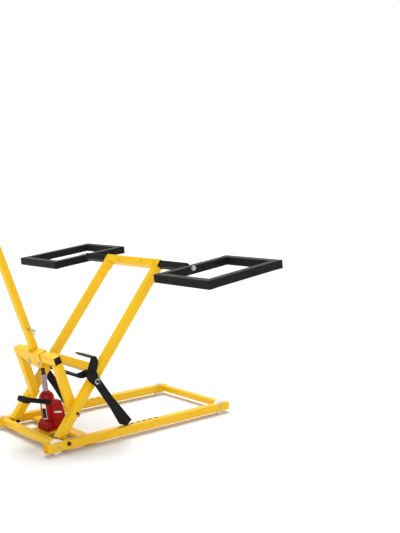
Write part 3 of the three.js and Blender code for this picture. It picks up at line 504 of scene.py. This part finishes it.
def wire(name, points, radius, place, body, coat, stands_for):
    """Bent round wire through the points."""
    bpy.ops.object.select_all(action="DESELECT")
    bpy.ops.curve.primitive_nurbs_path_add()
    made = bpy.context.object
    line = made.data
    line.splines.clear()
    spline = line.splines.new("NURBS")
    spline.points.add(len(points) - 1)
    for point, where in zip(spline.points, points):
        point.co = (*(Vector(where) * MM), 1.0)
    spline.order_u = 3
    spline.use_endpoint_u = True
    spline.resolution_u = 6
    line.bevel_depth = radius * MM
    line.bevel_resolution = 3
    line.use_fill_caps = True
    bpy.ops.object.convert(target="MESH")
    made = bpy.context.object
    edit(made)
    bpy.ops.mesh.remove_doubles(threshold=SAME_SPOT)
    bpy.ops.mesh.normals_make_consistent(inside=False)
    leave()
    moved(made, place)
    finished(made, name, body, coat, stands_for, smooth=60)


# Base frame: rails with capped ends, cross tubes, rollers, axle and pivot bolts. X is from the rail's front end,
# and the slots' Y is across the rail's top from its outer face
ROLLERS_X = {"front": 50, "rear": 990}
RAIL_ENDS = {"front": (13, FORWARD), "rear": (1033, BACK)}
FRONT_CROSS_X = 65
REAR_CROSS_X = 1031
CROSS_HALF = 15
MEMBER_X = 232
MEMBER_HALF_X, MEMBER_HALF_Z = 28, 8
SLOT_COUNT = 6
SLOT_PITCH = 34
SLOT_X = (412.05, 432.95)
SLOT_Y = (22.25, 33.75)
SLOT_Z = (26, 37.8)
SLOT_SKIN = 0.45
# The pin of the jack's seat, in the jack's frame
HINGE_X, HINGE_Z = 45.9, -0.4


def square_loop(x, z, half_x, half_z, y, skip=()):
    """The lines round the end of a tube that butts against a plane at y, less those of the sides to skip."""
    low_x, high_x, low_z, high_z = x - half_x, x + half_x, z - half_z, z + half_z
    corners = [(low_x, low_z), (high_x, low_z), (high_x, high_z), (low_x, high_z)]
    lines = []
    for i, (a, b) in enumerate(zip(corners, corners[1:] + corners[:1])):
        if i not in skip:
            lines.append((GROUND, (a[0], y, a[1]), (b[0], y, b[1])))
    return lines


def roller(side, end, x):
    """A turned nylon wheel with a grooved tread and a raised hub, and the bolt that it turns on."""
    tread = [[6, -11.4], [12.8, -12], [15.8, -11], [26, -11], [29, -12], [31.4, -10.6], [32, -9]]
    groove = [[32, -3.4], [31.2, -2], [30.5, 0], [31.2, 2], [32, 3.4]]
    back = [[r, -h] for r, h in reversed(tread)]
    wheel = turned(tread + groove + back, 72)
    moved(wheel, aimed(GROUND, (x, across(side, HALF), HALF), OUT[side]))
    node = f"{side}_{end}_roller"
    finished(wheel, node + "_turned", f"{side}_{end}_wheel", NYLON, [node], smooth=32)
    stack = [("shank", 4, 35.5), ("washer", 7.8, 1.3), ("hex", 7, 4.2), ("dome", 3.6, 0.6)]
    place = aimed(GROUND, (x, across(side, TUBE - 0.8), HALF), OUT[side])
    fastener(f"{side}_{end}_axle_bolt", stack, place, "base")


def rail_end(side, end, x, outward):
    """The pressed plate that closes a rail's end."""
    plate = block(-PLUG_HALF, PLUG_HALF, -PLUG_HALF, PLUG_HALF, -1.0, 1.6)
    rounded(plate, 0.9, 3, 30)
    moved(plate, aimed(GROUND, (x, across(side, HALF), HALF), outward))
    finished(plate, f"{side}_rail_{end}_cap", "base", YELLOW)


def tube_plug(frame_matrix, spot, outward, name, body, coat):
    """A pressed or moulded plug in a square tube's end, a little below its rim."""
    plug = block(-PLUG_HALF, PLUG_HALF, -PLUG_HALF, PLUG_HALF, -6.0, -0.6)
    rounded(plug, 1.0, 3, 30)
    moved(plug, aimed(frame_matrix, spot, outward))
    finished(plug, name, body, coat)


def slot_shade_skins(side):
    """Dark skins round the walls of the slots that the leg's foot drops into: painted shade, standing for the
    unlit inside of the rail seen through them.
    """
    outer, inner = SLOT_Y
    parts = []
    for i in range(SLOT_COUNT):
        front, rear = (x + SLOT_PITCH * i for x in SLOT_X)
        for x0, x1, y0, y1 in (
            (front, rear, outer, outer + SLOT_SKIN),
            (front, rear, inner - SLOT_SKIN, inner),
            (front, front + SLOT_SKIN, outer, inner),
            (rear - SLOT_SKIN, rear, outer, inner),
        ):
            parts.append(block(x0, x1, *span(side, y0, y1), *SLOT_Z))
    # The skins take the dark oxide steel only as painted shade for the slots' dark inside
    finished(moved(joined(parts), GROUND), side + "_rail_slot_edges", "base", DARK)


def dress_base():
    for side in OUT:
        dressed(side + "_rail", "base", YELLOW, 0.55)
        slot_shade_skins(side)
        for end, x in ROLLERS_X.items():
            roller(side, end, x)
        for end, (x, outward) in RAIL_ENDS.items():
            rail_end(side, end, x, outward)
        stack = [
            ("thread", 5, 6), ("hex", 8.6, 6), ("washer", 9, 1.2), ("shank", 5, 37.6), ("shoulder", 9, 13.4),
            ("shank", 5, 38.4), ("washer", 9.4, 1.4), ("hex", 8.8, 4.6), ("dome", 5, 0.5),
        ]
        place = aimed(GROUND, (ARM_PIVOT_X, across(side, ARM_INNER + 12.4), ARM_PIVOT_Z), OUT[side])
        fastener(side + "_arm_pivot_bolt", stack, place, "base", "oxide", DARK)
    for node in ("front_cross_tube", "rear_cross_tube", "jack_cross_member"):
        dressed(node, "base", YELLOW, TUBE_EDGE)
    hinge = Matrix.Translation(JACK_CENTRE @ (Vector((HINGE_X, 0, HINGE_Z)) * MM))
    place = aimed(hinge, (0, -61.5, 0), OUT["far"])
    fastener("jack_hinge_pin", [("shank", 4, 119), ("dome", 4, 1)], place, "base")
    lines = []
    for y in (TUBE, WIDTH - TUBE):
        lines += square_loop(FRONT_CROSS_X, HALF, CROSS_HALF, CROSS_HALF, y)
        lines += square_loop(REAR_CROSS_X, HALF, CROSS_HALF, CROSS_HALF, y, skip=(1,))
        lines += square_loop(MEMBER_X, MEMBER_HALF_Z, MEMBER_HALF_X, MEMBER_HALF_Z, y, skip=(0,))
    welds("base_welds", "base", lines, 2.3)


# Lifting frame: arms, cross tubes, tower, saddle, handle, ram bracket and their fastenings. Places are in the
# arm's frame, but those of the saddle are in the tower's
PAD_PLUG_X, PAD_PLUG_Y, PAD_PLUG_Z = 130.6, 58, 2
LEG_PIVOT_X, LEG_PIVOT_Z = 289.2, 15
LEG_BOLT_HEAD = 74.7
MID_TUBE_X = 341
SADDLE_BOLTS_Y = {"near": MIDDLE - 38, "far": MIDDLE + 45}
LOCK_SCREWS_Y = {"near": 88, "far": 367}
POST_BEAD_Z = (3.5, 27.5)
TUBE_BEAD_Z = (-8, 26)
GUSSET_BEAD = ((859, 94.6, -8), (892, 94.6, -8))
SADDLE_BEAD = ((5, MIDDLE - 26, -19.6), (17.5, MIDDLE - 26, -19.6))


def tower_in_arm(x, z):
    """A tower place in the arm's frame."""
    spot = ARM.inverted() @ TOWER @ (Vector((x, 0, z)) * MM)
    return spot.x / MM, spot.z / MM


def post_weld(side, x):
    """The bead up one edge of a post, on the arm's inner face."""
    s0, n0 = tower_in_arm(x, 0)
    s1, n1 = tower_in_arm(x, -100)
    y = across(side, ARM_INNER)
    start, end = ((s0 + (s1 - s0) * (n - n0) / (n1 - n0), y, n) for n in POST_BEAD_Z)
    return ARM, start, end


def side_welds(side):
    """The beads of one side of the lifting frame."""
    def on_side(spots):
        return [(x, across(side, y), z) for x, y, z in spots]

    face = ARM_INNER - 0.2
    lines = []
    for x in (MID_TUBE_X - HALF, MID_TUBE_X + HALF):
        lines.append((ARM, *on_side((x, face, z) for z in TUBE_BEAD_Z)))
    lines.append((ARM, *on_side((TRAY_PIVOT_X - HALF, face, z) for z in (4, 26))))
    lines += [post_weld(side, -HALF), post_weld(side, HALF)]
    lines.append((TOWER, *on_side((x, ARM_INNER + TUBE, -HALF) for x in (-17, 17))))
    lines.append((ARM, *on_side(GUSSET_BEAD)))
    lines.append((TOWER, *on_side(SADDLE_BEAD)))
    return lines


def dress_arm(side, body):
    for node in ("arm", "tower_post"):
        dressed(f"{side}_{node}", body, YELLOW, TUBE_EDGE)
    dressed(side + "_stop_pad", body, RUBBER, 1.6, 3)
    place = aimed(ARM, (PAD_PLUG_X, across(side, PAD_PLUG_Y), PAD_PLUG_Z), OUT[side])
    plug = bolt([("shank", 5, 6), ("washer", 6.6, 1.8)], place)
    finished(plug, side + "_stop_pad_plug", body, RUBBER)
    stack = [
        ("thread", 6, 4), ("hex", 8, 6), ("washer", 9.5, 1.2), ("shank", 6, 39), ("shoulder", 11, 13.5),
        ("shank", 6, 9), ("washer", 13, 2),
    ]
    shank = aimed(ARM, (LEG_PIVOT_X, across(side, ARM_INNER + 5.5), LEG_PIVOT_Z), OUT[side])
    fastener(side + "_leg_bolt", stack, shank, body)
    head = bolt([("hex", 8, 5.8), ("dome", 5.5, 0.6)], shank @ Matrix.Translation((0, 0, LEG_BOLT_HEAD * MM)))
    finished(head, side + "_leg_bolt_head", body, DARK)


def dress_lifting_frame():
    body = "lifting_frame"
    for side in OUT:
        dress_arm(side, body)
    for node in ("top_cross_tube", "mid_cross_tube", "tower_cross_tube", "handle_spigot", "handle_tube"):
        dressed(node, body, YELLOW, TUBE_EDGE)
    dressed("handle_saddle", body, YELLOW, 1.2, 3)
    dressed("ram_bracket", body, YELLOW, PLATE_EDGE)
    dressed("handle_plug", body, PLASTIC, 1.2, 3)
    for name, y in SADDLE_BOLTS_Y.items():
        stack = [
            ("thread", 5, 3), ("hex", 9, 6), ("washer", 9.6, 1.2), ("shank", 5, 47.4), ("washer", 9.6, 1.2),
            ("hex", 9, 5), ("dome", 6, 0.6),
        ]
        fastener(name + "_saddle_bolt", stack, aimed(TOWER, (34.3, y, -27.5), FORWARD), body)
    for name, y in LOCK_SCREWS_Y.items():
        stack = [("thread", 4, 3.6), ("washer", 7.2, 1), ("hex", 7, 4.6), ("dome", 4, 0.5)]
        place = aimed(ARM, (TRAY_PIVOT_X, y, 25.4), UP)
        fastener(name + "_lock_screw", stack, place, body, "coated", YELLOW)
    # Black plastic blocks set a little inside both ends of the tower's cross tube, so that those ends show black
    for side in OUT:
        spot = (0, across(side, ARM_INNER), 0)
        tube_plug(TOWER, spot, OUT[side], side + "_tower_tube_plug", body, PLASTIC)
    welds("lifting_frame_welds", body, side_welds("near") + side_welds("far"), 2.4)


# Handle's hitch pin and the spring clip through its end, in the handle's frame
PIN_START_Y = 320.3
PIN_Z = 105
CLIP_Y = 242
CLIP_LOOP = [
    (-1, -26), (-1, -8), (-1, 0), (0.5, 6), (5.5, 9.5), (8, 5), (5, 0), (1.6, -5), (4.4, -10), (1.8, -15),
    (3.4, -20), (6.4, -24),
]


def dress_hitch():
    stack = [("dome", 8, 2), ("shank", 8, 4), ("shank", 5, 91.2), ("dome", 5, 1.6)]
    fastener("hitch_pin", stack, aimed(HANDLE, (0, PIN_START_Y, PIN_Z), OUT["near"]), "hitch_pin_body")
    points = [(x, CLIP_Y, z + PIN_Z) for x, z in CLIP_LOOP]
    wire("pin_clip_bent", points, 1.3, HANDLE, "clip_body", ZINC, ["pin_clip"])


# Wheel trays, their tubes and pivot pins. Each bar of a tray is placed by its outward face, with the sign of
# the way from there into the tray
TRAY_ENDS = {"front": (-198, 1), "rear": (245, -1)}
TRAY_EDGES = {"inner": (-139.3, -1), "outer": (-491.3, 1)}
TRAY_Z = -9
TRAY_BEAD = 18
TRAY_PIN_Y = -127.6
TRAY_PLUG_Y = (-138.6, -112)
TRAY_PLUG_HALF = 14.7


def dress_trays():
    for side in OUT:
        body, tube_body = side + "_tray_body", side + "_tube_body"
        dressed(side + "_tray", body, BLACK, 0.5)
        dressed(side + "_tray_tube", tube_body, BLACK, TUBE_EDGE)
        stack = [("shank", 6, 50), ("washer", 12.4, 1.6), ("hex", 10.5, 5), ("dome", 6, 0.4)]
        place = aimed(ARM, (TRAY_PIVOT_X, across(side, TRAY_PIN_Y), TRAY_PIVOT_Z), OUT[side])
        fastener(side + "_tray_pin", stack, place, tube_body)
        plug = block(
            TRAY_PIVOT_X - TRAY_PLUG_HALF, TRAY_PIVOT_X + TRAY_PLUG_HALF, *span(side, *TRAY_PLUG_Y),
            TRAY_PIVOT_Z - TRAY_PLUG_HALF, TRAY_PIVOT_Z + TRAY_PLUG_HALF,
        )
        rounded(plug, 1.2, 2)
        moved(plug, ARM)
        finished(plug, side + "_tray_tube_plug", tube_body, BLACK)
        lines = []
        for end, (x, into_x) in TRAY_ENDS.items():
            for edge, (y, into_y) in TRAY_EDGES.items():
                corner = (x + into_x * TUBE, across(side, y + into_y * TUBE))
                lines.append((TRAY, (*corner, TRAY_Z - TRAY_BEAD), (*corner, TRAY_Z + TRAY_BEAD)))
                spot = (x + into_x * HALF, across(side, y), TRAY_Z)
                name = f"{side}_tray_{end}_{edge}_cap"
                tube_plug(TRAY, spot, OUT[side] * into_y, name, body, BLACK)
        welds(side + "_tray_welds", body, lines, 2.4, BLACK)


# Safety legs and release hook
def dress_legs():
    for side in OUT:
        dressed(side + "_leg", side + "_leg_body", BLACK, 0.9)
    for node in ("release_hook", "far_link_plate", "link_bar"):
        dressed(node, "release_body", BLACK, PLATE_EDGE)


# Bottle jack: its profiles are [radius, height] points in its own frame
TANK = [
    [14, 44.4], [31, 44.4], [33, 46], [33, 49], [32.4, 50.2], [32.4, 124], [33, 125.4], [33, 131], [32.2, 132],
    [14, 132],
]
CAP = [
    [13.6, 132.4], [32.5, 132.4], [34.2, 133.4], [34.5, 135], [34.5, 144.4], [34.1, 148.5], [33.0, 153.5],
    [31.0, 158.6], [28.0, 163.4], [24.4, 167.4], [20.6, 170.2], [17.8, 171.6], [17.2, 172.6], [17.2, 175.2],
    [16.4, 176], [14.2, 176], [13.6, 175.2], [13.6, 172],
]
RAM_ROD = [
    [12, 112], [13, 113], [13, 250], [12.6, 251.4], [12.6, 253], [13, 254], [13, 255.6], [12, 256.4], [9.4, 256.4],
    [9.2, 255], [9.2, 240],
]
SADDLE_HEAD = [
    [8.4, 278.6], [14.4, 279], [16.4, 280], [17, 281.4], [17, 286.4], [16.2, 287.4], [13.6, 287.6], [13.0, 286.6],
    [10.4, 286.6], [9.8, 288], [6, 289], [2, 289.3],
]
SCREW_PITCH = 3.0
SCREW_TURNS = 29
VALVE_PLACE = (-24, MIDDLE - 31.1, 14)
LABEL_THICKNESS = 0.3
PUMP_TOP = (21, 0, 80)
PUMP_LEAN = 16


def saddle_profile():
    """The ram's saddle: the screw that sets its height, turn by turn, and the head with its grooved top."""
    profile = [[7.4, 190]]
    for i in range(SCREW_TURNS):
        foot = 190.6 + i * SCREW_PITCH
        profile += [[8.5, foot], [8.5, foot + 0.7], [7.5, foot + 1.8], [7.5, foot + 2.4]]
    return profile + SADDLE_HEAD


def dress_jack():
    body = "jack_body"
    dressed("jack_seat", body, YELLOW, PLATE_EDGE)
    dressed("jack_base", body, RED_CAST, 0.9, 3, 25)
    dressed("pump_block", body, RED_CAST, 1.2, 3, 30)
    tank = moved(bored(TANK, 96), JACK_CENTRE)
    finished(tank, "jack_tank_drawn", body, RED_DRAWN, ["jack_tank"], smooth=50)
    cap = moved(bored(CAP, 96), JACK_CENTRE)
    finished(cap, "jack_cap_drawn", body, RED_DRAWN, ["jack_cap"], smooth=50)
    ram = moved(turned(RAM_ROD, 64), JACK_CENTRE)
    finished(ram, "ram_ground", "ram_body", RAM, ["ram"], smooth=50)
    saddle = moved(turned(saddle_profile(), 48), JACK_CENTRE)
    finished(saddle, "ram_saddle_turned", "ram_body", DARK, ["ram_saddle"], smooth=50)
    stack = [("shank", 4, 11), ("shank", 6.4, 1.4), ("hex", 7, 6.4), ("dome", 5.4, 0.8)]
    place = aimed(JACK, VALVE_PLACE, OUT["near"])
    fastener("release_valve", stack, place, "valve_body", "painted", RED_CAST)
    dress_labels(body)
    dressed("pedal_lever", "pedal_body", BLACK, PLATE_EDGE)
    dressed("pedal_sleeve", "pedal_body", RUBBER, 1.3, 3)


def tank_label(name, radius, angle_from, angle_to, low, high, body, coat):
    """A blank label that follows the tank."""
    bpy.ops.object.select_all(action="DESELECT")
    bpy.ops.mesh.primitive_grid_add(x_subdivisions=12, y_subdivisions=4, size=1)
    made = bpy.context.object
    edit(made, "VERT")
    shape = bmesh.from_edit_mesh(made.data)
    for corner in shape.verts:
        angle = math.radians(angle_from + (corner.co.x + 0.5) * (angle_to - angle_from))
        height = low + (corner.co.y + 0.5) * (high - low)
        corner.co = Vector((math.cos(angle) * radius, math.sin(angle) * radius, height)) * MM
    bmesh.update_edit_mesh(made.data)
    bpy.ops.mesh.normals_make_consistent(inside=False)
    leave()
    only(made)
    thick = made.modifiers.new("thick", "SOLIDIFY")
    thick.thickness = LABEL_THICKNESS * MM
    thick.offset = 0
    bpy.ops.object.modifier_apply(modifier=thick.name)
    moved(made, JACK_CENTRE)
    finished(made, name, body, coat)


def dress_labels(body):
    """The labels on the tank and on the pump block's near face, each with a darker band and no print."""
    tank_label("tank_label", 32.75, 188, 226, 54, 126, body, PAPER)
    tank_label("tank_label_dark_band", 33.0, 191, 223, 57, 104, body, RUBBER)
    lean = Matrix.Rotation(math.radians(PUMP_LEAN), 4, "Y")
    place = JACK @ Matrix.Translation(Vector(PUMP_TOP) * MM) @ lean
    face = MIDDLE - 50
    for name, low, high, coat, slot in (
        ("pump_label", -4, 4, PAPER, "nylon"),
        ("pump_label_dark_band", 4.6, 9, RUBBER, "rubber"),
    ):
        plate = block(-19, 19, face - LABEL_THICKNESS, face, low, high)
        moved(rounded(plate, 0.1, 1), place)
        finished(plate, name, body, coat)


dress_base()
dress_lifting_frame()
dress_hitch()
dress_trays()
dress_legs()
dress_jack()

# Stage: a pale floor, a white sky, a soft key from high up behind the lift, and a weaker fill from the
# camera's side
FLOOR_SIZE = 60.0
LIT_SPOT = Vector((0, 0, 0.4))

bpy.ops.object.select_all(action="DESELECT")
bpy.ops.mesh.primitive_plane_add(size=FLOOR_SIZE, location=(0, 0, 0))
floor = bpy.context.object
floor.name = "studio_floor"
# A painted floor, almost white, that changes a little every 1.5 m
pale, tree = material("pale_floor")
place = add(tree, "ShaderNodeTexCoord").outputs["Object"]
cloud = add(tree, "ShaderNodeTexNoise", {"Vector": place, "Scale": per_mm(1500), "Detail": 2.0})
mottle = add(tree, "ShaderNodeMix", {
    "Factor": cloud.outputs["Fac"], FIRST: linear("#EEEEEE"), SECOND: linear("#EBEBEB"),
}, data_type="RGBA")
shade(tree, mottle.outputs[MIXED], 0.7)
floor.data.materials.append(pale)

world = bpy.data.worlds.new("studio_sky")
bpy.context.scene.world = world
world.use_nodes = True
sky = world.node_tree
# A lit white wall all round up to 16 degrees, a dim band from 21 to 30 degrees and a paler ceiling from 53 up.
# The numbers are the sines of these angles
height = add(sky, "ShaderNodeSeparateXYZ", {"Vector": add(sky, "ShaderNodeTexCoord").outputs["Generated"]})
wall = add(sky, "ShaderNodeMapRange", {
    "Value": height.outputs["Z"], "From Min": 0.28, "From Max": 0.36, "To Min": 1.03, "To Max": 0.15,
})
ceiling = add(sky, "ShaderNodeMapRange", {
    "Value": height.outputs["Z"], "From Min": 0.5, "From Max": 0.8, "To Min": 0.0, "To Max": 0.25,
})
light = add(sky, "ShaderNodeMath", {0: wall.outputs["Result"], 1: ceiling.outputs["Result"]}, operation="ADD")
sky.links.new(light.outputs["Value"], sky.nodes["Background"].inputs["Strength"])
sky.nodes["Background"].inputs["Color"].default_value = linear("#FFFFFF")


def soft_light(name, place, spread, power):
    """A far lamp that lights the floor evenly: spread is the angle that it fills, in degrees."""
    lamp = bpy.data.lights.new(name, "SUN")
    lamp.angle = math.radians(spread)
    lamp.energy = power
    made = bpy.data.objects.new(name, lamp)
    bpy.context.scene.collection.objects.link(made)
    made.location = place
    made.rotation_euler = (LIT_SPOT - Vector(place)).to_track_quat("-Z", "Y").to_euler()


soft_light("key", (1.2, 1.9, 4.0), 36, 3.35)
soft_light("fill", (-2.7, -2.7, 1.4), 60, 1.35)

# Camera: solved from the frame's edges in the photograph
CAMERA_PLACE = Vector((-1653.011, -2799.839, 1088.051))
CAMERA_YAW = math.radians(48.22517)
CAMERA_PITCH = math.radians(5.35155)
CAMERA_LENS = 53.0406
CAMERA_SENSOR = 36.0
CAMERA_REACH = 200.0
lens = bpy.data.cameras.new("camera")
lens.lens = CAMERA_LENS
lens.sensor_width = CAMERA_SENSOR
lens.clip_end = CAMERA_REACH
camera = bpy.data.objects.new("camera", lens)
bpy.context.scene.collection.objects.link(camera)
camera.location = CORNER + CAMERA_PLACE * MM
level = math.cos(CAMERA_PITCH)
look = Vector((math.cos(CAMERA_YAW) * level, math.sin(CAMERA_YAW) * level, -math.sin(CAMERA_PITCH)))
camera.rotation_euler = look.to_track_quat("-Z", "Y").to_euler()
bpy.context.scene.camera = camera
bpy.context.scene.view_settings.view_transform = "Standard"
